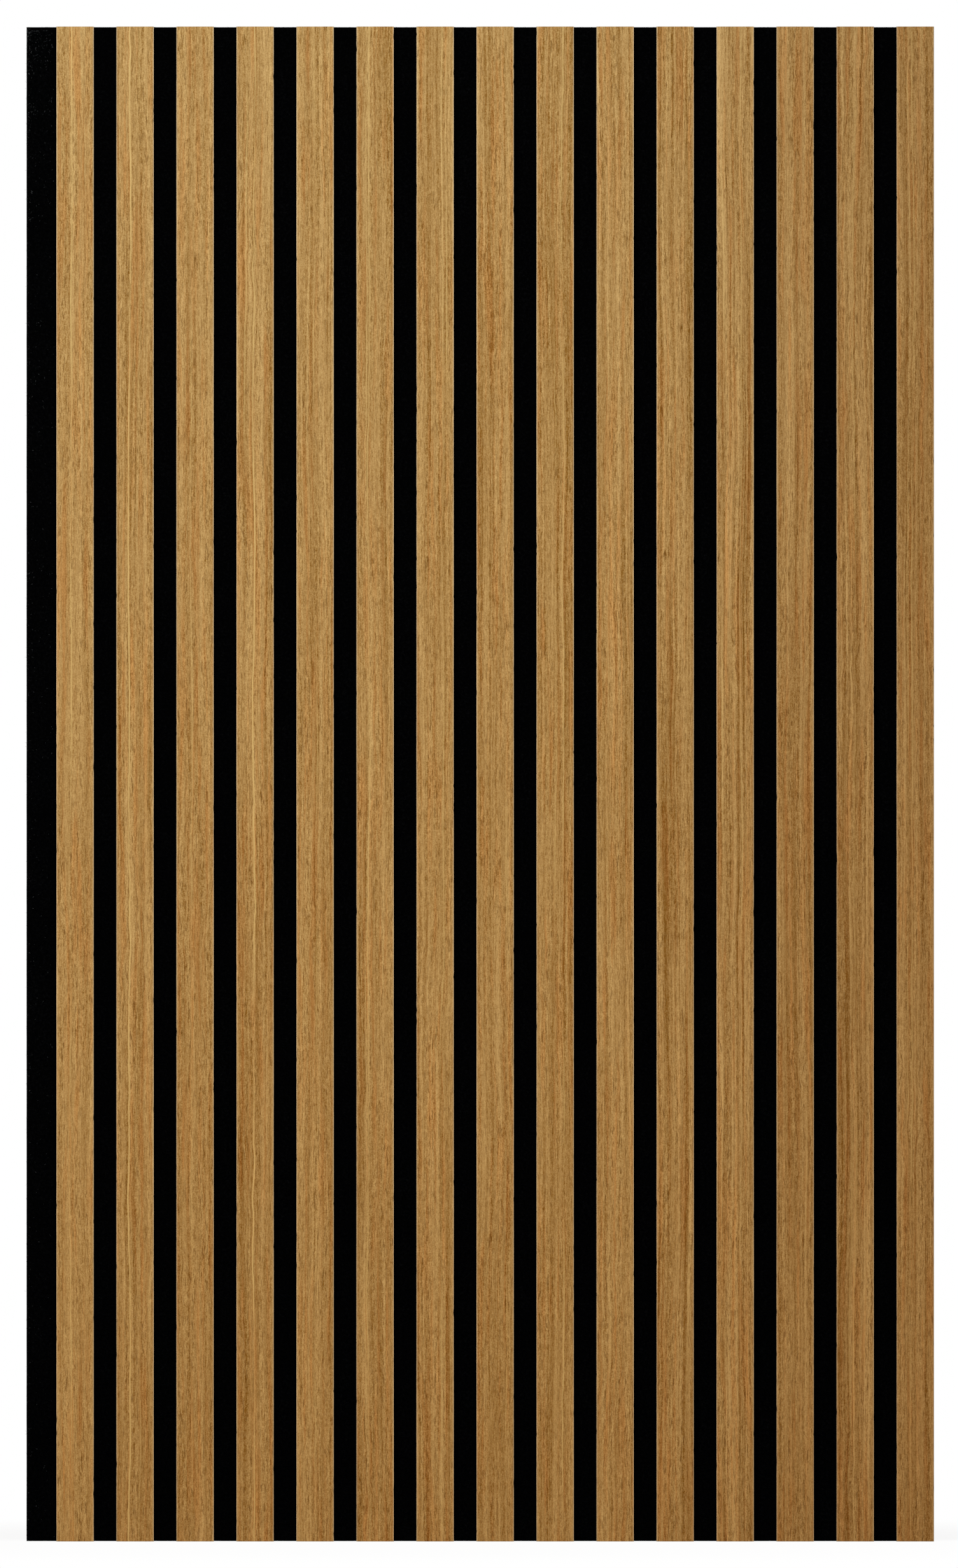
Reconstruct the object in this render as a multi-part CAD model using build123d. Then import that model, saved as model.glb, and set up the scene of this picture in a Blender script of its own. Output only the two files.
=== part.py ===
from build123d import *
import os

# Slatted acoustic wall panel: a row of veneered slats on a black felt board.
# Each slat is a fibreboard core with an oak veneer on its front. Wire staples, driven from the back
# through the felt, hold the cores. Bare felt is left beside the first slat, and the last slat is flush.
#
# Millimetres. X runs across the slats, +Z runs up along them and Y runs through the panel.
# The felt's back is the wall plane, Y = 0, and the veneers face -Y. The origin is the middle of that back.

# Slats
slat_count = 15
slat_length = 1010.0
slat_width = 25.0
slat_gap = 15.0
core_thickness = 11.4
veneer_thickness = 0.6
veneer_edge_chamfer = 0.3  # the sanded long edges of the veneer

# Felt board
felt_thickness = 9.0
felt_margin = 20.0  # bare felt beside the first slat

# Staples
staple_rows = 4
staple_end_distance = 45.0  # from the end of the panel to the nearest row
staple_crown_width = 11.2  # over the outsides of the legs
wire_width = 1.2
wire_thickness = 0.6
bend_radius = 0.6  # outside of the bend between crown and leg
crown_recess = 0.4  # how far the crown is pulled in below the felt's back
staple_bite = 4.4  # how far the legs reach into the core
chisel_length = 1.0  # the slanting point of a leg

# Worked out from the sizes above
slat_pitch = slat_width + slat_gap
panel_width = felt_margin + (slat_count - 1) * slat_pitch + slat_width
felt_front = -felt_thickness
core_front = felt_front - core_thickness
leg_tip = felt_front - staple_bite
first_slat_x = -panel_width / 2 + felt_margin + slat_width / 2
first_row_z = -slat_length / 2 + staple_end_distance
row_pitch = (slat_length - 2 * staple_end_distance) / (staple_rows - 1)

slat_places = [first_slat_x + i * slat_pitch for i in range(slat_count)]
row_places = [first_row_z + i * row_pitch for i in range(staple_rows)]


def strip(width, thickness, back):
    """A plain strip as long as the panel, centred on X and Z, with its back face at Y = back."""
    return Pos(Y=back) * Box(width, thickness, slat_length, align=(Align.CENTER, Align.MAX, Align.CENTER))


def staple_outline(crown_top):
    """The face of a staple in X and Y: a crown with its outside at Y = crown_top, and two pointed legs."""
    outside = staple_crown_width / 2
    inside = outside - wire_thickness
    crown_under = -crown_recess - wire_thickness
    chisel_start = leg_tip + chisel_length
    return make_face(
        Polyline(
            (-outside, leg_tip),
            (-outside, crown_top),
            (outside, crown_top),
            (outside, leg_tip),
            (inside, chisel_start),
            (inside, crown_under),
            (-inside, crown_under),
            (-inside, chisel_start),
            close=True,
        )
    )


def wire(outline):
    """A staple outline at the width of its wire."""
    return extrude(outline, wire_width / 2, both=True)


def make_staple():
    """One staple, with its crown below the felt's back and the outsides of its bends rounded."""
    outline = staple_outline(-crown_recess)
    bends = outline.vertices().group_by(Axis.Y)[-1]
    return wire(fillet(bends, bend_radius))


def make_staple_slot():
    """What a staple pushes aside in felt and core. It is open to the back, above the recessed crown."""
    return wire(staple_outline(0))


def make_felt_backing(slot):
    """The felt board, with a slot for every staple."""
    slots = [Pos(x, 0, z) * slot for x in slat_places for z in row_places]
    return strip(panel_width, felt_thickness, 0) - slots


def make_slat_core(slot):
    """The core of a slat centred on X = 0, with the holes that the staple legs make in its back."""
    slots = [Pos(0, 0, z) * slot for z in row_places]
    return strip(slat_width, core_thickness, felt_front) - slots


def make_veneer_face():
    """The veneer of a slat centred on X = 0, with its long front edges taken off."""
    veneer = strip(slat_width, veneer_thickness, core_front)
    front_edges = veneer.edges().filter_by(Axis.Z).group_by(Axis.Y)[0]
    return chamfer(front_edges, min(veneer_edge_chamfer, 0.9 * veneer_thickness))


def make_nodes():
    """Every piece of the panel in its place, by name."""
    slot = make_staple_slot()
    staple = make_staple()
    core = make_slat_core(slot)
    veneer = make_veneer_face()
    nodes = {"felt_backing": make_felt_backing(slot)}
    for number, x in enumerate(slat_places, start=1):
        nodes[f"slat_core_{number:02d}"] = Pos(X=x) * core
        nodes[f"veneer_face_{number:02d}"] = Pos(X=x) * veneer
    nodes["staples"] = Compound(children=[Pos(x, 0, z) * staple for x in slat_places for z in row_places])
    return nodes


os.makedirs("parts", exist_ok=True)
for name, shape in make_nodes().items():
    export_step(shape, f"parts/{name}.step")
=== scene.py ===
"""Dresses a slatted acoustic wall panel: oak veneers, black cores, a felt board and its staples.

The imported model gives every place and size, in metres. X runs across the slats, Z runs up along them,
and the veneers face -Y. Grain and fibre sizes inside the materials are millimetres.
"""

import math

import bpy
import numpy as np
from bpy.props import FloatProperty, FloatVectorProperty, IntProperty, PointerProperty
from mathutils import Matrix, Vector


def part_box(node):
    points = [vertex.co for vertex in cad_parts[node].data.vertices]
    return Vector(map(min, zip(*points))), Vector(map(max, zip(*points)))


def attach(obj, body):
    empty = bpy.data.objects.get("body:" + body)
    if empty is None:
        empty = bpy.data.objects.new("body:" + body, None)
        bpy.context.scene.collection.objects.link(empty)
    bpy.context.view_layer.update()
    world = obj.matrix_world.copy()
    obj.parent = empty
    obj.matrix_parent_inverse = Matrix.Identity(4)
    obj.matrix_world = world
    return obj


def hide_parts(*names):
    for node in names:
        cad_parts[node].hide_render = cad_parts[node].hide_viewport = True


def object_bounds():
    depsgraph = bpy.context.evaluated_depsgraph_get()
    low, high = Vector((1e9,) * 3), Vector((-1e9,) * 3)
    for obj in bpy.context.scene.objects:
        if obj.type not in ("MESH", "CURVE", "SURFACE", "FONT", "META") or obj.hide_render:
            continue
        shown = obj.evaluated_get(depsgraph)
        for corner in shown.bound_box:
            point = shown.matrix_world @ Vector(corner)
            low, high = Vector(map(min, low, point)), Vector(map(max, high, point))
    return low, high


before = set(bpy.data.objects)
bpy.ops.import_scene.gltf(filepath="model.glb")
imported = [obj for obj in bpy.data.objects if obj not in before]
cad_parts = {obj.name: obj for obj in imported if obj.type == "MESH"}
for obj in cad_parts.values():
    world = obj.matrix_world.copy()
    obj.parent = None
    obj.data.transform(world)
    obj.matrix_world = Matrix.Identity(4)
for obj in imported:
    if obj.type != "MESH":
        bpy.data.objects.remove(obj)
cad_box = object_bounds()

bl_info = {
    "name": "Slatted acoustic panel",
    "version": (1, 0, 0),
    "blender": (4, 5, 0),
    "location": "View3D > Sidebar > Acoustic panel",
    "description": "Dresses a slatted acoustic wall panel with oak veneer, felt, fibreboard and staples",
    "category": "Object",
}

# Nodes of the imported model
BODY = "root"
FELT = "felt_backing"
STAPLES = "staples"
CORES = sorted(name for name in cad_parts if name.startswith("slat_core_"))
VENEERS = sorted(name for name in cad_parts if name.startswith("veneer_face_"))

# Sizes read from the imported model
FELT_LOW, FELT_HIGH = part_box(FELT)
FELT_WIDTH, _, FELT_LENGTH = FELT_HIGH - FELT_LOW
SLAT_LEFTS = [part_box(name)[0].x for name in VENEERS]
SLAT_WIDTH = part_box(VENEERS[0])[1].x - SLAT_LEFTS[0]
SLAT_PITCH = SLAT_LEFTS[1] - SLAT_LEFTS[0]
SLAT_GAP = SLAT_PITCH - SLAT_WIDTH
PANEL_FRONT = cad_box[0].y

MM = 0.001

# Paler and browner slats, by number from the left: the change in their share of pale wood
SLAT_PALENESS = {1: 0.08, 4: -0.04, 6: -0.03, 8: -0.03, 9: -0.05, 10: 0.04, 12: 0.03, 14: 0.05, 15: -0.03}
# Slats with calmer and stronger streaks: the change in the strength of their streaks
SLAT_STREAKS = {1: -0.3, 3: -0.3, 11: 0.3, 12: 0.5, 14: 0.4}
# Slats with a strong pale line: its place across the slat, from 0 at the left to 1, and its strength
PALE_LINES = {
    1: (0.40, 0.35),
    2: (0.34, 0.80),
    4: (0.45, 0.80),
    6: (0.32, 0.45),
    7: (0.70, 0.35),
    9: (0.71, 0.45),
    12: (0.66, 0.40),
    14: (0.49, 0.40),
    15: (0.40, 0.45),
}

# Least and greatest half length of a chip in a sawn edge, in millimetres
CHIP_REACH = (0.7, 2.2)
# Least and greatest length, radius and lift of a loose fibre, in millimetres
FIBRE_LENGTH = (0.7, 2.4)
FIBRE_RADIUS = (0.025, 0.055)
FIBRE_LIFT = (0.10, 0.34)


def middles(values, gap):
    """The middles of groups of numbers, where a step longer than gap parts one group from the next."""
    ordered = np.sort(np.asarray(values))
    groups = np.split(ordered, np.flatnonzero(np.diff(ordered) > gap) + 1)
    return [float(group[0] + group[-1]) / 2 for group in groups]


def staple_places():
    """The heights of the staple rows, and half the width of a crown."""
    row_gap = 10 * MM
    points = np.array([v.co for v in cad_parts[STAPLES].data.vertices])
    rows = middles(points[:, 2], row_gap)
    first = points[points[:, 0] < SLAT_LEFTS[0] + SLAT_WIDTH, 0]
    return rows, float(first.max() - first.min()) / 2


STAPLE_ROWS, CROWN_HALF = staple_places()


# Settings


def a_colour(name, description, default):
    """A colour that a user can change, in linear values."""
    return FloatVectorProperty(
        name=name, description=description, default=default, subtype="COLOR", size=3, min=0, max=1
    )


def a_length(name, description, default):
    """A length that a user can change, in metres."""
    return FloatProperty(
        name=name, description=description, default=default, unit="LENGTH", min=0, precision=5
    )


def a_place(name, description, default):
    """A place that a user can change, in metres."""
    return FloatVectorProperty(
        name=name, description=description, default=default, subtype="TRANSLATION", size=3
    )


def a_share(name, description, default):
    """A share from 0 to 1 that a user can change."""
    return FloatProperty(name=name, description=description, default=default, subtype="FACTOR", min=0, max=1)


def a_power(name, description, default):
    """A lamp's power that a user can change, in watts."""
    return FloatProperty(name=name, description=description, default=default, unit="POWER", min=0)


def a_count(name, description, default):
    """A whole number that a user can change."""
    return IntProperty(name=name, description=description, default=default, min=0)


class VeneerSettings(bpy.types.PropertyGroup):
    """Sizes and colours of the oak veneers."""

    straw: a_colour("Straw", "Pale wood between the rows of pores", (0.566, 0.352, 0.140))
    tan: a_colour("Tan", "Dark wood of the streaks", (0.205, 0.083, 0.0045))
    pore: a_colour("Pore", "Open pores", (0.115, 0.040, 0.001))
    line: a_colour("Pale line", "Pale lines that run the length of a slat", (0.62, 0.41, 0.16))
    warm: a_colour("Warm", "Reddish tint of the browner stretches", (1.0, 0.82, 0.66))
    # The next two tints are painted shade: they darken and warm the last slats and the lower ends, in place
    # of light that falls off towards the lower right
    painted_shade_right: a_colour("Painted_shade_right", "Tint of the last slats against the first ones", (0.79, 0.745, 0.705))
    painted_shade_low: a_colour("Painted_shade_low", "Tint of the lower ends against the upper ones", (1.0, 0.90, 0.78))
    edge: a_colour("Edge", "Sanded long edges", (0.62, 0.46, 0.29))
    paleness: a_share("Paleness", "Share of straw in the wood", 0.50)
    # Where the painted shade towards the last slats starts
    painted_shade_from: a_length("Browner from", "Place right of the middle where the slats turn browner", 0.03)
    ease: a_length("Ease", "Radius of the sanded long edges", 0.30 * MM)
    wander: a_length("Wander", "How far a sawn edge strays from a straight line", 0.07 * MM)
    chip: a_length("Chip", "Depth of the largest chips in a sawn edge", 0.30 * MM)
    chips: a_count("Chips", "Chips in one sawn edge", 26)
    station: a_length("Station", "Distance between two sections along a slat", 1.25 * MM)
    seed: a_count("Seed", "Start of the random edges", 11)


class FeltSettings(bpy.types.PropertyGroup):
    """Sizes and colours of the felt board and its loose fibres."""

    # Black and grey are painted shade: a darker copy of the felt for its front and cut edges, which lie in
    # the shaded grooves
    black: a_colour("Black", "Body of the felt", (0.0005, 0.0005, 0.0006))
    grey: a_colour("Grey", "Paler fibres in the felt", (0.0032, 0.0032, 0.0036))
    back: a_colour("Back", "Body of the felt at its pressed back", (0.009, 0.009, 0.0095))
    back_grey: a_colour("Back grey", "Paler fibres at the pressed back", (0.085, 0.085, 0.090))
    loose: a_colour("Loose fibres", "Fibres that stand out of the felt", (0.13, 0.132, 0.14))
    edge: a_length("Edge", "Radius of the cut edges", 0.9 * MM)
    swell: a_length("Swell", "How far the felt swells between two slats", 0.25 * MM)
    wave: a_length("Wave", "Height of the slow waves in the back", 0.22 * MM)
    dimple: a_length("Dimple", "How deep a staple pulls the back in", 0.72 * MM)
    dimple_reach: a_length("Dimple reach", "How far a dimple spreads round its staple", 3.2 * MM)
    cell: a_length("Cell", "Largest cell of the felt's mesh", 5.5 * MM)
    strip_fibres: a_count("Strip fibres", "Loose fibres on the bare strip beside the first slat", 2600)
    back_fibres: a_count("Back fibres", "Loose fibres on the back", 2600)
    side_fibres: a_count("Side fibres", "Loose fibres on each long edge", 150)
    end_fibres: a_count("End fibres", "Loose fibres on each end", 90)
    seed: a_count("Seed", "Start of the random waves and fibres", 23)


class CoreSettings(bpy.types.PropertyGroup):
    """Colours of the slat cores."""

    black: a_colour("Black", "Dyed fibreboard", (0.0012, 0.0011, 0.0010))
    brown: a_colour("Brown", "Paler fibres in the fibreboard", (0.007, 0.0062, 0.0055))


class StapleSettings(bpy.types.PropertyGroup):
    """Colours of the staples."""

    zinc: a_colour("Zinc", "Galvanised wire", (0.42, 0.42, 0.43))
    dull: a_colour("Dull", "Dull patches on the wire", (0.17, 0.17, 0.18))


class StageSettings(bpy.types.PropertyGroup):
    """Camera, lamps and floor."""

    picture_height: a_count("Picture height", "Pixels up the picture", 2464)
    panel_height: FloatProperty(
        name="Panel height", description="Pixels up the picture that the panel fills", default=2380.6
    )
    aside: FloatProperty(
        name="Aside", description="Pixels that the panel stands right of the middle", default=1.8
    )
    lens: FloatProperty(
        name="Lens", description="Focal length in millimetres", default=900.0, min=20, unit="CAMERA"
    )
    key_place: a_place("Key place", "Where the lamp at the upper left stands", (-0.30, -2.35, 1.20))
    key_size: a_length("Key size", "Side of the lamp at the upper left", 0.9)
    key_power: a_power("Key", "Power of the lamp at the upper left", 66.0)
    key_tint: a_colour("Key tint", "Light of the lamp at the upper left", (0.91, 1.0, 1.0))
    back_place: a_place("Back place", "Where the lamp behind the panel stands", (1.1, 2.0, 1.2))
    back_size: a_length("Back size", "Side of the lamp behind the panel", 1.2)
    back_power: a_power("Back", "Power of the lamp behind the panel", 30.0)
    back_tint: a_colour("Back tint", "Light of the lamp behind the panel", (1.0, 1.0, 1.0))
    fill: FloatProperty(name="Fill", description="Strength of the even light", default=0.18, min=0)
    fill_tint: a_colour("Fill tint", "Even light from all sides", (1.0, 0.78, 0.56))
    floor: a_colour("Floor", "Pale floor", (0.60, 0.55, 0.50))
    floor_half: a_length("Floor half", "Half the side of the square floor", 4.0)
    front_white: a_share("Front white", "Share of white that is seen in the floor before the panel", 0.97)
    back_white: a_share("Back white", "Share of white that is seen in the floor behind the panel", 0.9)
    white_from: a_length("White from", "Distance from which the floor is seen as plain white", 0.9)


# Meshes


def add_piece(name, points, faces, material):
    """A smooth mesh piece that rides on the panel, with the material it is given."""
    mesh = bpy.data.meshes.new(name)
    mesh.from_pydata(np.asarray(points).reshape(-1, 3).tolist(), [], faces)
    mesh.materials.append(material)
    mesh.shade_smooth()
    piece = bpy.data.objects.new(name, mesh)
    bpy.context.scene.collection.objects.link(piece)
    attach(piece, BODY)
    return piece


def tube_faces(stations, ring, start=0):
    """The faces of a closed tube of stations that each have ring points, with a cap at both ends."""
    faces = []
    for station in range(stations - 1):
        for turn in range(ring):
            a = start + station * ring + turn
            b = start + station * ring + (turn + 1) % ring
            faces.append((a, b, b + ring, a + ring))
    faces.append(tuple(start + turn for turn in reversed(range(ring))))
    faces.append(tuple(start + (stations - 1) * ring + turn for turn in range(ring)))
    return faces


def soft_noise(rng, places, spacing):
    """A random line of straight stretches through places, between -1 and 1, with a knot at every spacing."""
    low, high = min(places), max(places)
    knots = np.arange(low - spacing, high + 2 * spacing, spacing)
    heights = rng.uniform(-1, 1, len(knots))
    return np.interp(places, knots, heights)


# Materials


class Recipe:
    """The nodes of a material or of the background. Most calls add a node and return its result's socket."""

    def __init__(self, owner):
        owner.use_nodes = True
        self.owner = owner
        self.tree = owner.node_tree

    def feed(self, socket, value):
        """Links a socket, or sets it to a plain value."""
        if isinstance(value, bpy.types.NodeSocket):
            self.tree.links.new(value, socket)
        else:
            socket.default_value = value

    def fill(self, node, **inputs):
        """Feeds a node that is there already, with underscores for the spaces in the names of its inputs."""
        for name, value in inputs.items():
            self.feed(self.tree.nodes[node].inputs[name.replace("_", " ")], value)

    def finish(self, **inputs):
        """Feeds the surface shader and hands over the material."""
        self.fill("Principled BSDF", **inputs)
        return self.owner

    def add(self, kind, inputs, output=0, **options):
        """A node with its options set and its inputs fed."""
        node = self.tree.nodes.new(kind)
        for name, value in options.items():
            setattr(node, name, value)
        for key, value in inputs.items():
            self.feed(node.inputs[key], value)
        return node.outputs[output]

    def place(self):
        """X, Y and Z on the piece, in millimetres."""
        at = self.add("ShaderNodeTexCoord", {}, "Object")
        at = self.add("ShaderNodeVectorMath", {0: at, "Scale": 1 / MM}, operation="SCALE")
        node = self.tree.nodes.new("ShaderNodeSeparateXYZ")
        self.feed(node.inputs[0], at)
        return node.outputs

    def math(self, operation, a, b=0.0, clamp=False):
        """One sum of one or two numbers."""
        return self.add("ShaderNodeMath", {0: a, 1: b}, operation=operation, use_clamp=clamp)

    def times_plus(self, value, factor, extra):
        """value x factor + extra."""
        return self.add("ShaderNodeMath", {0: value, 1: factor, 2: extra}, operation="MULTIPLY_ADD")

    def step(self, value, low, high):
        """0 below low and 1 above high, with a smooth step between them."""
        inputs = {"Value": value, "From Min": low, "From Max": high}
        return self.add("ShaderNodeMapRange", inputs, interpolation_type="SMOOTHSTEP")

    def noise(self, x, y, z, sizes, detail=0.0):
        """Noise from 0 to 1 whose blots have these sizes along x, y and z."""
        scaled = [self.math("DIVIDE", value, size) for value, size in zip((x, y, z), sizes)]
        at = self.add("ShaderNodeCombineXYZ", dict(enumerate(scaled)))
        return self.add("ShaderNodeTexNoise", {"Vector": at, "Scale": 1, "Detail": detail})

    def mix(self, share, first, second, blend="MIX"):
        """A colour between two others."""
        colours = [c if isinstance(c, bpy.types.NodeSocket) else (*c, 1) for c in (first, second)]
        inputs = {0: share, 6: colours[0], 7: colours[1]}
        return self.add("ShaderNodeMix", inputs, 2, data_type="RGBA", blend_type=blend)

    def bump(self, height, distance, strength):
        """A normal from a height of 0 to 1, where 1 stands that far out."""
        return self.add("ShaderNodeBump", {"Height": height, "Distance": distance, "Strength": strength})


class OakRecipe(Recipe):
    """The nodes of the oak, with the places on the slats and in the log that its grain follows."""

    def __init__(self, owner):
        super().__init__(owner)
        self.x, _, self.z = self.place()
        pitch = SLAT_PITCH / MM
        from_start = self.math("SUBTRACT", self.x, (SLAT_LEFTS[0] - SLAT_GAP / 2) / MM)
        # The slat's number from 0, and the place across it from its middle
        self.slat = self.math("FLOOR", self.math("DIVIDE", from_start, pitch))
        self.aside = self.math("SUBTRACT", from_start, self.times_plus(self.slat, pitch, pitch / 2))
        # Each veneer is a leaf of its own, cut from another length of the log
        self.leaf = self.math("ADD", self.slat, 0.41)
        self.along = self.times_plus(self.slat, 311.0, self.z)
        self.across = self.wander()

    def wander(self):
        """The place across the grain, which wanders slowly everywhere and waves quickly in places."""
        stirred = self.step(self.noise(self.x, self.leaf, self.along, (50, 0.4, 120)), 0.50, 0.70)
        # Sizes of the bends, how far they reach and their share here
        bends = (
            ((60, 0.3, 230), 7.0, 1.0),
            ((16, 0.3, 55), 1.8, 1.0),
            ((9, 0.3, 24), 3.6, stirred),
            ((3, 0.3, 9), 0.5, 1.0),
        )
        across = self.x
        for sizes, reach, share in bends:
            shift = self.math("SUBTRACT", self.noise(self.x, self.leaf, self.along, sizes, 1), 0.5)
            across = self.times_plus(self.math("MULTIPLY", shift, share), reach, across)
        return across

    def grain(self, width, length, detail):
        """Noise from 0 to 1 in streaks of this width and length that follow the grain."""
        return self.noise(self.across, self.leaf, self.along, (width, 1, length), detail)

    def pick(self, values):
        """The value for the slat of this place, or 0 where the slat has none."""
        picked = 0.0
        for number, value in values.items():
            inputs = {0: self.slat, 1: number - 1.0, 2: 0.5}
            here = self.add("ShaderNodeMath", inputs, operation="COMPARE")
            picked = self.times_plus(here, value, picked)
        return picked

    def tone(self, rows, paleness):
        """The share of pale wood, and the layer of it that the finest fibres make."""
        coarse = self.times_plus(rows, 0.4, 0.70)
        streaky = self.math("ADD", self.pick(SLAT_STREAKS), 1.0)
        # Each layer's streaks: width, length, detail, share of the tone and strength here
        layers = (
            (6.0, 600.0, 1, 0.22, streaky),
            (2.5, 360.0, 2, 0.72, streaky),
            (1.2, 180.0, 2, 0.90, streaky),
            (18.0, 90.0, 2, 0.13, 1.0),
            (0.64, 9.0, 1, 0.66, coarse),
            (0.60, 0.8, 1, 1.0, coarse),
            (0.58, 2.8, 2, 0.82, coarse),
        )
        tone = self.math("ADD", self.pick(SLAT_PALENESS), paleness)
        for width, length, detail, share, strength in layers:
            layer = self.grain(width, length, detail)
            weight = self.math("MULTIPLY", strength, share)
            tone = self.times_plus(self.math("SUBTRACT", layer, 0.5), weight, tone)
        return self.math("MINIMUM", self.math("MAXIMUM", tone, 0.0), 1.0), layer

    def pale_lines(self, wood, pale):
        """Wood with lines along most of some slats: a strong one in its own place, a faint one anywhere."""
        slat_width = SLAT_WIDTH / MM
        own = self.pick({number: (place - 0.5) * slat_width for number, (place, _) in PALE_LINES.items()})
        strong = self.pick({number: strength for number, (_, strength) in PALE_LINES.items()})
        start = self.math("ADD", self.slat, 8.3)
        luck = self.add("ShaderNodeTexWhiteNoise", {"W": start}, "Value", noise_dimensions="1D")
        anywhere = self.times_plus(luck, 0.7 * slat_width, -0.35 * slat_width)
        bent = self.math("SUBTRACT", self.math("ADD", self.aside, self.across), self.x)
        # Place across the slat, strength, half the width, and the noise below which the line is gone
        lines = ((own, strong, 0.42, 0.22), (anywhere, 0.45, 0.38, 0.38))
        for middle, strength, half, least in lines:
            off = self.math("ABSOLUTE", self.math("SUBTRACT", bent, middle))
            line = self.math("SUBTRACT", 1.0, self.step(off, 0.5 * half, 1.5 * half))
            stretches = self.noise(middle, self.leaf, self.along, (9, 0.4, 150), 1)
            shown = self.math("MULTIPLY", line, self.step(stretches, least, least + 0.35))
            wood = self.mix(self.math("MULTIPLY", shown, strength), wood, pale)
        return wood


def make_oak_veneer(settings):
    """Straight-grained oak: fine streaks that wander, rows of open pores and a few long pale lines."""
    oak = OakRecipe(bpy.data.materials.new("straight_oak"))

    # Open pores and coarse fibres lie in rows, thick in some stretches and thin in others
    rows = oak.step(oak.grain(2.7, 80, 2), 0.36, 0.66)
    tone, fibres = oak.tone(rows, settings.paleness)
    wood = oak.mix(tone, settings.tan, settings.straw)

    # Browner stretches
    brown = oak.step(oak.grain(2.6, 80, 2), 0.46, 0.74)
    wood = oak.mix(oak.math("MULTIPLY", brown, 0.9), wood, settings.warm, "MULTIPLY")

    # Open pores
    dashes = oak.step(oak.grain(0.52, 6.5, 1), 0.585, 0.675)
    pores = oak.math("MULTIPLY", dashes, oak.times_plus(rows, 0.40, 0.55))
    wood = oak.mix(oak.math("MULTIPLY", pores, 0.68), wood, settings.pore)

    wood = oak.pale_lines(wood, settings.line)

    # The sanded edge is paler
    rim = (SLAT_WIDTH / 2 - settings.ease) / MM
    worn = oak.step(oak.math("ABSOLUTE", oak.aside), rim - 0.7, rim + 0.15)
    wood = oak.mix(oak.math("MULTIPLY", worn, 0.7), wood, settings.edge)

    # Painted shade: the wood turns darker and warmer towards the last slat and towards the lower ends, in
    # place of light that falls off towards the lower right
    painted_shade_right = oak.step(oak.x, settings.painted_shade_from / MM, FELT_HIGH.x / MM)
    wood = oak.mix(painted_shade_right, wood, settings.painted_shade_right, "MULTIPLY")
    fall = {"Value": oak.z, "From Min": FELT_HIGH.z / MM, "From Max": FELT_LOW.z / MM}
    wood = oak.mix(oak.add("ShaderNodeMapRange", fall), wood, settings.painted_shade_low, "MULTIPLY")

    # Fibres stand out a little, and pores are sunk
    height = oak.times_plus(oak.math("SUBTRACT", fibres, 0.5), 0.35, 0.6)
    height = oak.math("SUBTRACT", height, oak.math("MULTIPLY", pores, 0.6))
    return oak.finish(
        Base_Color=wood,
        Roughness=oak.times_plus(pores, 0.2, oak.times_plus(rows, 0.08, 0.54)),
        Specular_IOR_Level=0.08,
        Normal=oak.bump(height, 0.09 * MM, 0.8),
    )


def make_black_felt(settings):
    """Needled felt: a black mat of fibres that lie every way, with paler ones among them."""
    felt = Recipe(bpy.data.materials.new("needled_felt"))
    x, y, z = felt.place()
    bend = felt.times_plus(felt.noise(x, y, z, (3.5, 3.5, 3.5), 2), 3.0, -1.5)
    mats = []
    for turn in (12, 71, 133):
        cosine, sine = math.cos(math.radians(turn)), math.sin(math.radians(turn))
        first = felt.times_plus(x, cosine, felt.times_plus(z, sine, bend))
        second = felt.times_plus(x, -sine, felt.times_plus(z, cosine, bend))
        mats.append(felt.noise(first, y, second, (0.16, 0.6, 2.4), 1))
    mat = felt.math("MAXIMUM", felt.math("MAXIMUM", mats[0], mats[1]), mats[2])
    clumps = felt.noise(x, y, z, (1.8, 1.8, 1.8), 3)
    clouds = felt.noise(x, y, z, (26, 26, 26), 3)
    pale = felt.math("MULTIPLY", felt.step(mat, 0.54, 0.76), felt.step(clumps, 0.38, 0.66))
    pale = felt.math("MULTIPLY", pale, felt.times_plus(clouds, 1.8, 0.1))

    # The front and the cut edges take a darker copy of the felt, painted shade for the shaded grooves
    # between the slats; the back keeps the felt's own paler colour
    unshaded = felt.step(y, -2.5, -0.8)
    front = felt.mix(pale, settings.black, settings.grey)
    back = felt.mix(pale, settings.back, settings.back_grey)
    height = felt.times_plus(clumps, 0.7, felt.math("MULTIPLY", mat, 0.5))
    return felt.finish(
        Base_Color=felt.mix(unshaded, front, back),
        Roughness=1.0,
        Specular_IOR_Level=0.0,
        Sheen_Weight=0.002,
        Sheen_Roughness=0.5,
        Normal=felt.bump(height, 0.5 * MM, 0.7),
    )


def make_loose_fibres(settings):
    """Fibres that stand out of the felt, some paler than others."""
    fibre = Recipe(bpy.data.materials.new("loose_fibres"))
    x, y, z = fibre.place()
    share = fibre.step(fibre.noise(x, y, z, (1.5, 1.5, 1.5), 1), 0.40, 0.62)
    shade = fibre.mix(share, settings.black, settings.loose)
    return fibre.finish(Base_Color=shade, Roughness=0.7, Specular_IOR_Level=0.1)


def make_fibreboard(settings):
    """Black-dyed fibreboard, with saw marks across its cut sides and fine paler fibres."""
    board = Recipe(bpy.data.materials.new("dyed_fibreboard"))
    x, y, z = board.place()
    fibres = board.noise(x, y, z, (0.9, 0.25, 0.9), 3)
    saw = board.noise(x, y, z, (30, 4, 0.7), 1)
    height = board.times_plus(saw, 0.5, board.math("MULTIPLY", fibres, 0.5))
    return board.finish(
        Base_Color=board.mix(board.step(fibres, 0.50, 0.78), settings.black, settings.brown),
        Roughness=board.times_plus(fibres, 0.2, 0.75),
        Specular_IOR_Level=0.05,
        Normal=board.bump(height, 0.12 * MM, 0.8),
    )


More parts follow.
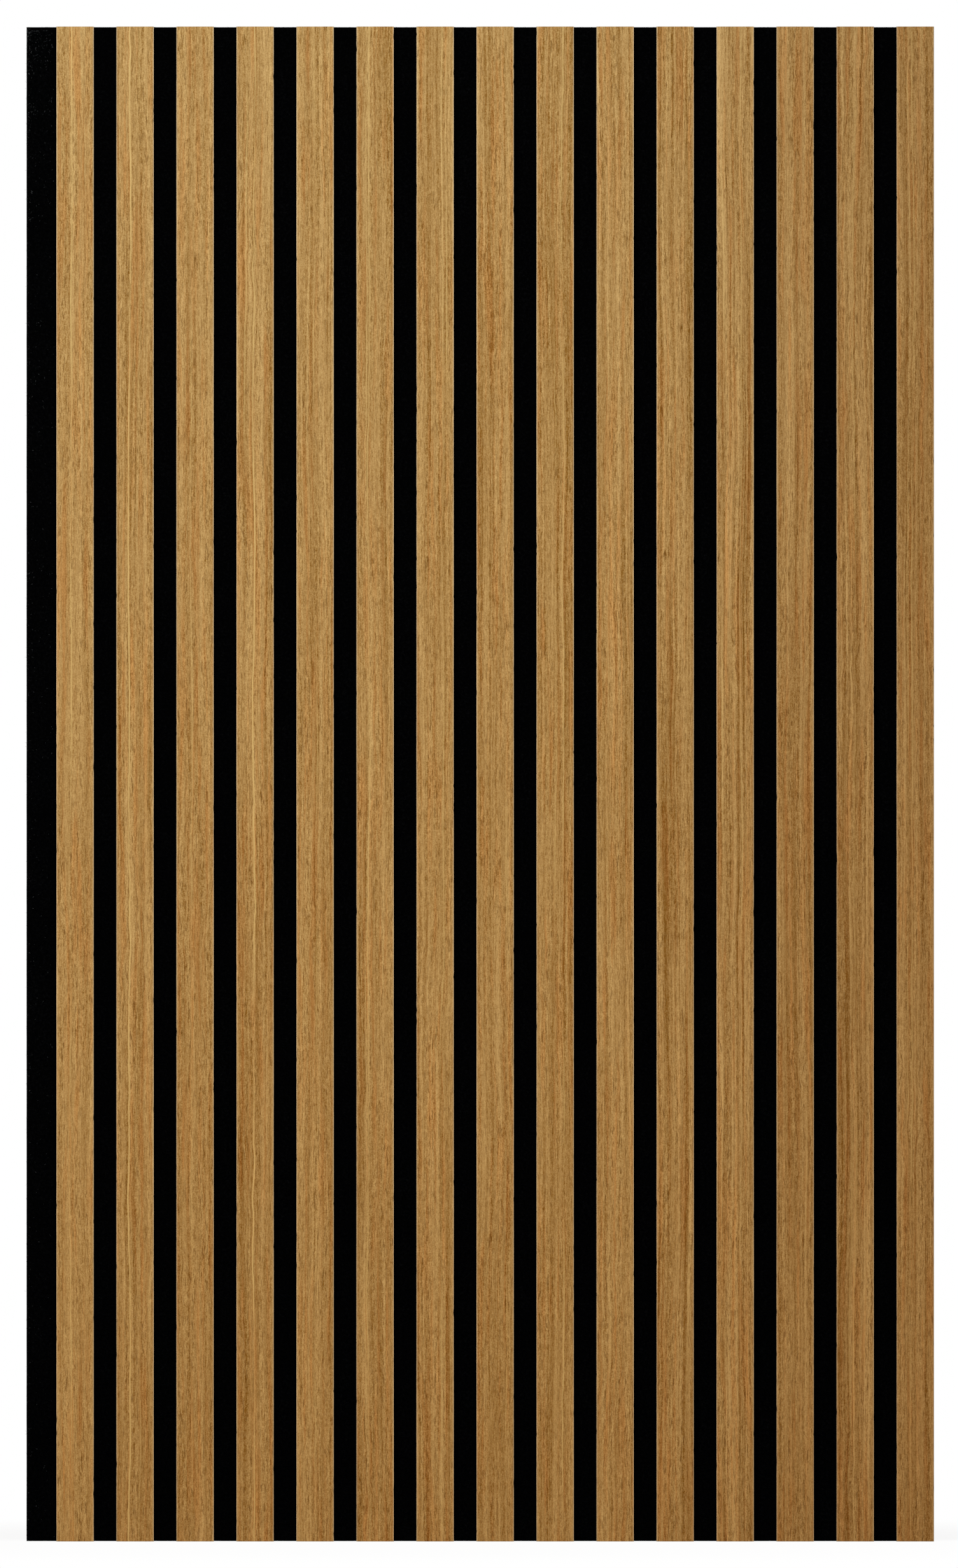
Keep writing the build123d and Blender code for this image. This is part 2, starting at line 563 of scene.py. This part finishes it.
def make_staple_wire(settings):
    """Galvanised flat wire with dull patches and drawing lines along the crown."""
    wire = Recipe(bpy.data.materials.new("galvanised_wire"))
    x, y, z = wire.place()
    patches = wire.noise(x, y, z, (1.4, 1.4, 1.4), 3)
    drawn = wire.noise(x, y, z, (6, 0.06, 0.06), 1)
    streaks = wire.math("MULTIPLY", wire.step(drawn, 0.35, 0.75), 0.5)
    dull = wire.math("ADD", wire.step(patches, 0.42, 0.68), streaks, clamp=True)
    return wire.finish(
        Base_Color=wire.mix(dull, settings.zinc, settings.dull),
        Roughness=wire.times_plus(dull, 0.22, wire.times_plus(drawn, 0.12, 0.24)),
        Metallic=1.0,
        Normal=wire.bump(drawn, 0.02 * MM, 0.6),
    )


# Veneers


def sawn_edge(rng, heights, settings):
    """How far a sawn edge lies inside the slat's side at each height: a slow wander and a few chips."""
    slow = soft_noise(rng, heights, 45 * MM)
    quick = soft_noise(rng, heights, 4 * MM)
    inside = settings.wander * (1 + 0.6 * slow + 0.4 * quick)
    for _ in range(settings.chips):
        middle = rng.uniform(heights[0], heights[-1])
        reach = rng.uniform(*CHIP_REACH) * MM
        depth = settings.chip * rng.uniform(0.15, 1) ** 2
        inside += depth * np.exp(-(((heights - middle) / reach) ** 2))
    return inside


def veneer_heights(low, high, settings):
    """Where a veneer's sections lie: close together at the eased ends and evenly spaced between them."""
    ends = np.array([0, 0.3]) * settings.ease
    count = round((high - low - 2 * settings.ease) / settings.station)
    body = np.linspace(low + settings.ease, high - settings.ease, count + 1)
    return np.concatenate([low + ends, body, high - ends[::-1]])


def make_veneer(name, number, material, settings):
    """One veneer strip: flat on its core, with sanded edges that stray a little."""
    low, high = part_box(name)
    rng = np.random.default_rng([settings.seed, number])
    heights = veneer_heights(low.z, high.z, settings)
    left = low.x + sawn_edge(rng, heights, settings)
    right = high.x - sawn_edge(rng, heights, settings)

    # The front falls away at both ends, where the strip is thinner and its long edges are eased less
    end = np.clip(np.minimum(heights - low.z, high.z - heights) / settings.ease, 0, 1)
    front = low.y + settings.ease * 0.7 * (1 - np.sqrt(1 - (1 - end) ** 2))
    ease = np.minimum(settings.ease, (high.y - front) * 0.8)

    # Each section runs round the strip from the left of its back, over the front, to the right of its back
    turns = np.radians([0, 30, 60, 90])
    ring = [(left, np.full_like(left, high.y))]
    ring += [(left + ease * (1 - math.cos(a)), front + ease * (1 - math.sin(a))) for a in turns]
    ring += [(left + (right - left) * share, front) for share in (0.25, 0.5, 0.75)]
    ring += [(right - ease * (1 - math.cos(a)), front + ease * (1 - math.sin(a))) for a in turns[::-1]]
    ring += [(right, np.full_like(right, high.y))]
    points = np.stack([np.stack([px, py, heights], 1) for px, py in ring], 1)
    faces = tube_faces(len(heights), len(ring))
    piece = add_piece(f"oak_veneer_{number:02d}", points, faces, material)
    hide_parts(name)


class DressVeneers(bpy.types.Operator):
    """Lays an oak veneer on the front of each slat"""

    bl_idname = "acoustic_panel.veneers"
    bl_label = "Oak veneers"

    def execute(self, context):
        settings = context.scene.acoustic_veneer
        material = make_oak_veneer(settings)
        for number, name in enumerate(VENEERS, start=1):
            make_veneer(name, number, material, settings)
        return {"FINISHED"}


# Felt


def grid_lines(low, high, cell, extra):
    """Sorted places from low to high: the extra ones, unless they nearly meet, and every cell between."""
    closest = 0.2 * MM
    kept = [low]
    for place in sorted([*extra, low, high]):
        if place - kept[-1] > closest:
            kept.append(min(place, high))
    cells = np.linspace(low, high, math.ceil((high - low) / cell) + 1)
    between = [place for place in cells if min(abs(place - near) for near in kept) > 0.45 * cell]
    return np.array(sorted([*kept, *between]))


def felt_lines(settings):
    """The grid lines of the felt's mesh, close together at its edges, its staples and its slats."""
    rim = settings.edge * np.array([0.04, 0.18, 0.5, 1.0])
    beside_crown = np.array([0, 1.4, 3.4]) * MM
    beside_row = np.array([0.6, 1.6, 3.2, 6.0]) * MM
    across = [FELT_LOW.x + r for r in rim] + [FELT_HIGH.x - r for r in rim]
    for left in SLAT_LEFTS:
        middle = left + SLAT_WIDTH / 2
        across += [left, left + SLAT_WIDTH]
        across += [middle + side * (CROWN_HALF + off) for side in (-1, 1) for off in beside_crown]
    up = [FELT_LOW.z + r for r in rim] + [FELT_HIGH.z - r for r in rim]
    for row in STAPLE_ROWS:
        up += [row + side * off for side in (-1, 1) for off in beside_row]
    return (
        grid_lines(FELT_LOW.x, FELT_HIGH.x, settings.cell, across),
        grid_lines(FELT_LOW.z, FELT_HIGH.z, settings.cell, up),
    )


def edge_rounding(lines, low, high, radius):
    """How far the faces fall away near the two ends of a run of grid lines, as a quarter round."""
    near = np.clip(np.minimum(lines - low, high - lines), 0, radius)
    return radius - np.sqrt(radius**2 - (radius - near) ** 2)


def staple_dimples(across, up, settings):
    """How deep the staples pull the back in, over the grid."""
    wire_half = 0.5 * MM
    depth = np.zeros((len(across), len(up)))
    for left in SLAT_LEFTS:
        past_crown = np.maximum(np.abs(across - left - SLAT_WIDTH / 2) - CROWN_HALF, 0)
        for row in STAPLE_ROWS:
            past_wire = np.maximum(np.abs(up - row) - wire_half, 0)
            off = np.hypot(past_crown[:, None], past_wire[None, :])
            depth = np.maximum(depth, settings.dimple * np.exp(-((off / settings.dimple_reach) ** 1.3)))
    return depth


def felt_sides(rng, across, up, settings):
    """Where the felt's back and front lie over the grid: the back waves and dips, the front swells."""
    fall = np.maximum(
        edge_rounding(across, FELT_LOW.x, FELT_HIGH.x, settings.edge)[:, None],
        edge_rounding(up, FELT_LOW.z, FELT_HIGH.z, settings.edge)[None, :],
    )
    waves_across = soft_noise(rng, across, 60 * MM)[:, None]
    waves_up = soft_noise(rng, up, 70 * MM)[None, :]
    wave = 0.5 + 0.25 * waves_across + 0.25 * waves_up
    dips = np.maximum(staple_dimples(across, up, settings), wave * settings.wave)
    back = FELT_HIGH.y - np.maximum(dips, fall)

    # The swell is 0 under a slat and grows to its full height over this distance from the slat's side
    rise = 5 * MM
    groove = np.ones(len(across))
    for left in SLAT_LEFTS:
        beside = np.abs(across - left - SLAT_WIDTH / 2) - SLAT_WIDTH / 2
        groove = np.minimum(groove, np.clip(beside, 0, rise) / rise)
    lumps = 0.75 + 0.25 * soft_noise(rng, up, 18 * MM)
    front = FELT_LOW.y - settings.swell * groove[:, None] * lumps[None, :] + fall
    return back, front


def felt_faces(columns, rows):
    """The faces of the felt's back, front and rim, where the front's points follow those of the back."""
    one_side = columns * rows
    index = np.arange(one_side).reshape(columns, rows)
    faces = []
    for i in range(columns - 1):
        for j in range(rows - 1):
            a, b, c, d = index[i, j], index[i + 1, j], index[i + 1, j + 1], index[i, j + 1]
            faces.append((a, d, c, b))
            faces.append((a + one_side, b + one_side, c + one_side, d + one_side))
    rim = [*index[:, 0], *index[-1, 1:], *index[-2::-1, -1], *index[0, -2:0:-1]]
    for a, b in zip(rim, [*rim[1:], rim[0]]):
        faces.append((a, b, b + one_side, a + one_side))
    return [tuple(int(v) for v in face) for face in faces]


def make_felt_board(material, settings):
    """The felt board, with a swollen front, a stapled back and rounded edges that stray a little inwards."""
    rng = np.random.default_rng(settings.seed)
    across, up = felt_lines(settings)
    sides = felt_sides(rng, across, up, settings)

    stray, knots = 0.03 * MM, 9 * MM
    px, pz = np.meshgrid(across, up, indexing="ij")
    px[0] += stray * (1 + soft_noise(rng, up, knots))
    px[-1] -= stray * (1 + soft_noise(rng, up, knots))
    pz[:, 0] += stray * (1 + soft_noise(rng, across, knots))
    pz[:, -1] -= stray * (1 + soft_noise(rng, across, knots))

    points = np.concatenate([np.stack([px, side, pz], -1).reshape(-1, 3) for side in sides])
    piece = add_piece("felt_board", points, felt_faces(len(across), len(up)), material)
    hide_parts(FELT)
    return piece


def fibre_path(rng, root, outward, length):
    """Five points of one loose fibre: out of the felt, along it in a curl, and down again."""
    sunk = 0.06 * MM
    flat = np.array([1.0, 1.0, 1.0]) - np.abs(outward)
    heading = rng.normal(size=3) * flat
    heading /= np.linalg.norm(heading)
    side = np.cross(heading, outward)
    curl = rng.uniform(-0.5, 0.5)
    lift = rng.uniform(*FIBRE_LIFT) * MM
    path = []
    for t in np.linspace(0, 1, 5):
        height = lift * (1 - (2 * t - 1) ** 2) - sunk
        path.append(root + heading * length * t + side * length * curl * t * (1 - t) * 2 + outward * height)
    return np.array(path)


def fibre_tube(path, radius):
    """A three-sided tube along a path."""
    askew = [0.31, 0.87, 0.39]
    heading = path[-1] - path[0]
    heading /= np.linalg.norm(heading)
    first = np.cross(heading, askew)
    first /= np.linalg.norm(first)
    second = np.cross(heading, first)
    turns = np.radians([0, 120, 240])
    ring = np.stack([math.cos(a) * first + math.sin(a) * second for a in turns])
    return path[:, None, :] + radius * ring[None, :, :]


def fibre_roots(rng, settings):
    """Where loose fibres grow, and the way out of the felt there: bare strip, back, long edges and ends."""
    # Most fibres of the strip grow near its outer edge and its upper end: painted light and shade, with
    # fewer pale fibres in the shade beside the first slat and towards the lower end
    strip = SLAT_LEFTS[0] - FELT_LOW.x
    for _ in range(settings.strip_fibres):
        share = rng.uniform(0, 1) ** 2.6
        down = rng.uniform(0, 1) ** 2.0
        x = FELT_LOW.x + 1 * MM + share * strip * 0.85
        z = FELT_HIGH.z - (FELT_LENGTH - 4 * MM) * down - 2 * MM
        yield np.array([x, FELT_LOW.y, z]), np.array([0, -1.0, 0])

    margin, wave = 3 * MM, 0.3 * MM
    for _ in range(settings.back_fibres):
        x = rng.uniform(FELT_LOW.x + margin, FELT_HIGH.x - margin)
        z = rng.uniform(FELT_LOW.z + margin, FELT_HIGH.z - margin)
        yield np.array([x, FELT_HIGH.y - wave, z]), np.array([0, 1.0, 0])

    rounding, sunk = 1.2 * MM, 0.15 * MM
    front, back = FELT_LOW.y + rounding, FELT_HIGH.y - rounding
    for sign, edge in ((-1.0, FELT_LOW.x), (1.0, FELT_HIGH.x)):
        for _ in range(settings.side_fibres):
            y = rng.uniform(front, back)
            z = rng.uniform(FELT_LOW.z, FELT_HIGH.z)
            yield np.array([edge - sign * sunk, y, z]), np.array([sign, 0, 0])
    for sign, edge in ((-1.0, FELT_LOW.z), (1.0, FELT_HIGH.z)):
        for _ in range(settings.end_fibres):
            y = rng.uniform(front, back)
            x = rng.uniform(FELT_LOW.x, FELT_HIGH.x)
            yield np.array([x, y, edge - sign * sunk]), np.array([0, 0, sign])


def make_felt_fibres(material, settings):
    """Loose fibres all over the bare felt."""
    rng = np.random.default_rng([settings.seed, 1])
    points, faces = [], []
    for root, outward in fibre_roots(rng, settings):
        path = fibre_path(rng, root, outward, rng.uniform(*FIBRE_LENGTH) * MM)
        tube = fibre_tube(path, rng.uniform(*FIBRE_RADIUS) * MM)
        stations, ring = tube.shape[:2]
        faces += tube_faces(stations, ring, start=stations * ring * len(points))
        points.append(tube)
    return add_piece("felt_fibres", np.array(points), faces, material)


class DressFelt(bpy.types.Operator):
    """Makes the felt board and its loose fibres"""

    bl_idname = "acoustic_panel.felt"
    bl_label = "Felt board"

    def execute(self, context):
        settings = context.scene.acoustic_felt
        board = make_felt_board(make_black_felt(settings), settings)
        fibres = make_felt_fibres(make_loose_fibres(settings), settings)
        return {"FINISHED"}


# Cores and staples


def paint(nodes, material):
    """Gives CAD nodes a material in place of their own."""
    for name in nodes:
        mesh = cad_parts[name].data
        mesh.materials.clear()
        mesh.materials.append(material)


class DressCores(bpy.types.Operator):
    """Gives the slat cores their black fibreboard"""

    bl_idname = "acoustic_panel.cores"
    bl_label = "Slat cores"

    def execute(self, context):
        paint(CORES, make_fibreboard(context.scene.acoustic_core))
        return {"FINISHED"}


class DressStaples(bpy.types.Operator):
    """Gives the staples their galvanised wire"""

    bl_idname = "acoustic_panel.staples"
    bl_label = "Staples"

    def execute(self, context):
        paint([STAPLES], make_staple_wire(context.scene.acoustic_staple))
        return {"FINISHED"}


# Stage


def seen_plainly(recipe):
    """1 for what is seen directly, in a gloss or through glass, and 0 for light that falls on the panel."""
    path = recipe.tree.nodes.new("ShaderNodeLightPath").outputs
    seen = path["Is Camera Ray"]
    for name in ("Is Glossy Ray", "Is Transmission Ray"):
        seen = recipe.math("MAXIMUM", seen, path[name])
    return seen


def show_white(recipe, share, kind, lit, output):
    """Shows plain white of a kind of shader in place of a lit one, by a share."""
    white = recipe.add(kind, {"Color": (1, 1, 1, 1), "Strength": 1.0})
    lit_shader = recipe.tree.nodes[lit].outputs[0]
    recipe.fill(output, Surface=recipe.add("ShaderNodeMixShader", {0: share, 1: lit_shader, 2: white}))


def make_world(settings):
    """A white background that sends an even, warm light onto the panel."""
    world = bpy.data.worlds.new("studio")
    bpy.context.scene.world = world
    studio = Recipe(world)
    studio.fill("Background", Color=(*settings.fill_tint, 1), Strength=settings.fill)
    show_white(studio, seen_plainly(studio), "ShaderNodeBackground", "Background", "World Output")


def make_pale_floor(settings):
    """A pale floor that is seen nearly white. The shadow shows most behind the panel, and not far away."""
    floor = Recipe(bpy.data.materials.new("pale_floor"))
    at = floor.add("ShaderNodeTexCoord", {}, "Object")
    behind = {
        "Value": floor.add("ShaderNodeSeparateXYZ", {0: at}, "Y"),
        "From Min": PANEL_FRONT,
        "From Max": -3 * PANEL_FRONT,
        "To Min": settings.front_white,
        "To Max": settings.back_white,
    }
    away = {
        "Value": floor.add("ShaderNodeVectorMath", {0: at}, "Value", operation="LENGTH"),
        "From Min": settings.white_from / 3,
        "From Max": settings.white_from,
        "To Min": floor.add("ShaderNodeMapRange", behind),
        "To Max": 1.0,
    }
    whiteness = floor.add("ShaderNodeMapRange", away, interpolation_type="SMOOTHSTEP")
    share = floor.math("MULTIPLY", seen_plainly(floor), whiteness)
    show_white(floor, share, "ShaderNodeEmission", "Principled BSDF", "Material Output")
    return floor.finish(Base_Color=(*settings.floor, 1), Roughness=0.9, Specular_IOR_Level=0.1)


def make_floor(settings):
    """A square floor under the panel."""
    half = settings.floor_half
    corners = [(-half, -half, 0), (half, -half, 0), (half, half, 0), (-half, half, 0)]
    mesh = bpy.data.meshes.new("floor")
    mesh.from_pydata(corners, [], [(0, 1, 2, 3)])
    mesh.materials.append(make_pale_floor(settings))
    floor = bpy.data.objects.new("floor", mesh)
    floor.location.z = FELT_LOW.z
    bpy.context.scene.collection.objects.link(floor)


def make_lamp(name, place, size, power, tint):
    """A square soft lamp that faces the middle of the panel."""
    light = bpy.data.lights.new(name, "AREA")
    light.shape = "SQUARE"
    light.size = size
    light.energy = power
    light.color = tint
    lamp = bpy.data.objects.new(name, light)
    lamp.location = place
    lamp.rotation_euler = (-Vector(place)).to_track_quat("-Z", "Y").to_euler()
    lamp.visible_camera = False
    bpy.context.scene.collection.objects.link(lamp)


def make_camera(settings):
    """A camera straight in front of the panel, at the height of its middle."""
    data = bpy.data.cameras.new("camera")
    data.sensor_width = 36.0
    data.lens = settings.lens
    seen_height = FELT_LENGTH * settings.picture_height / settings.panel_height
    distance = seen_height * settings.lens / data.sensor_width
    aside = settings.aside * seen_height / settings.picture_height
    camera = bpy.data.objects.new("camera", data)
    camera.location = (-aside, PANEL_FRONT - distance, (FELT_LOW.z + FELT_HIGH.z) / 2)
    camera.rotation_euler = (math.radians(90), 0, 0)
    bpy.context.scene.collection.objects.link(camera)
    bpy.context.scene.camera = camera


class SetStage(bpy.types.Operator):
    """Makes the floor, the lamps, the background and the camera"""

    bl_idname = "acoustic_panel.stage"
    bl_label = "Stage"

    def execute(self, context):
        settings = context.scene.acoustic_stage
        context.scene.view_settings.view_transform = "Standard"
        make_world(settings)
        make_floor(settings)
        make_lamp("key", settings.key_place, settings.key_size, settings.key_power, settings.key_tint)
        make_lamp("back", settings.back_place, settings.back_size, settings.back_power, settings.back_tint)
        make_camera(settings)
        return {"FINISHED"}


# Sidebar


class AcousticPanelSidebar(bpy.types.Panel):
    """Lists the panel's pieces and their settings"""

    bl_idname = "VIEW3D_PT_acoustic_panel"
    bl_label = "Acoustic panel"
    bl_space_type = "VIEW_3D"
    bl_region_type = "UI"
    bl_category = "Acoustic panel"

    def draw(self, context):
        for operator, group in STEPS:
            column = self.layout.column(align=True)
            column.operator(operator.bl_idname)
            settings = getattr(context.scene, group)
            for name in settings.bl_rna.properties.keys():
                if name not in ("rna_type", "name"):
                    column.prop(settings, name)


STEPS = (
    (DressFelt, "acoustic_felt"),
    (DressCores, "acoustic_core"),
    (DressVeneers, "acoustic_veneer"),
    (DressStaples, "acoustic_staple"),
    (SetStage, "acoustic_stage"),
)
SETTINGS = {
    "acoustic_felt": FeltSettings,
    "acoustic_core": CoreSettings,
    "acoustic_veneer": VeneerSettings,
    "acoustic_staple": StapleSettings,
    "acoustic_stage": StageSettings,
}
CLASSES = (*SETTINGS.values(), *(operator for operator, _ in STEPS), AcousticPanelSidebar)


def register():
    """Adds the classes to Blender and the settings to its scenes."""
    for each in CLASSES:
        bpy.utils.register_class(each)
    for name, group in SETTINGS.items():
        setattr(bpy.types.Scene, name, PointerProperty(type=group))


def unregister():
    """Takes the settings and the classes away again."""
    for name in SETTINGS:
        delattr(bpy.types.Scene, name)
    for each in reversed(CLASSES):
        bpy.utils.unregister_class(each)


def main():
    """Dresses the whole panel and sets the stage."""
    register()
    bpy.ops.acoustic_panel.felt()
    bpy.ops.acoustic_panel.cores()
    bpy.ops.acoustic_panel.veneers()
    bpy.ops.acoustic_panel.staples()
    bpy.ops.acoustic_panel.stage()


if __name__ == "__main__":
    main()
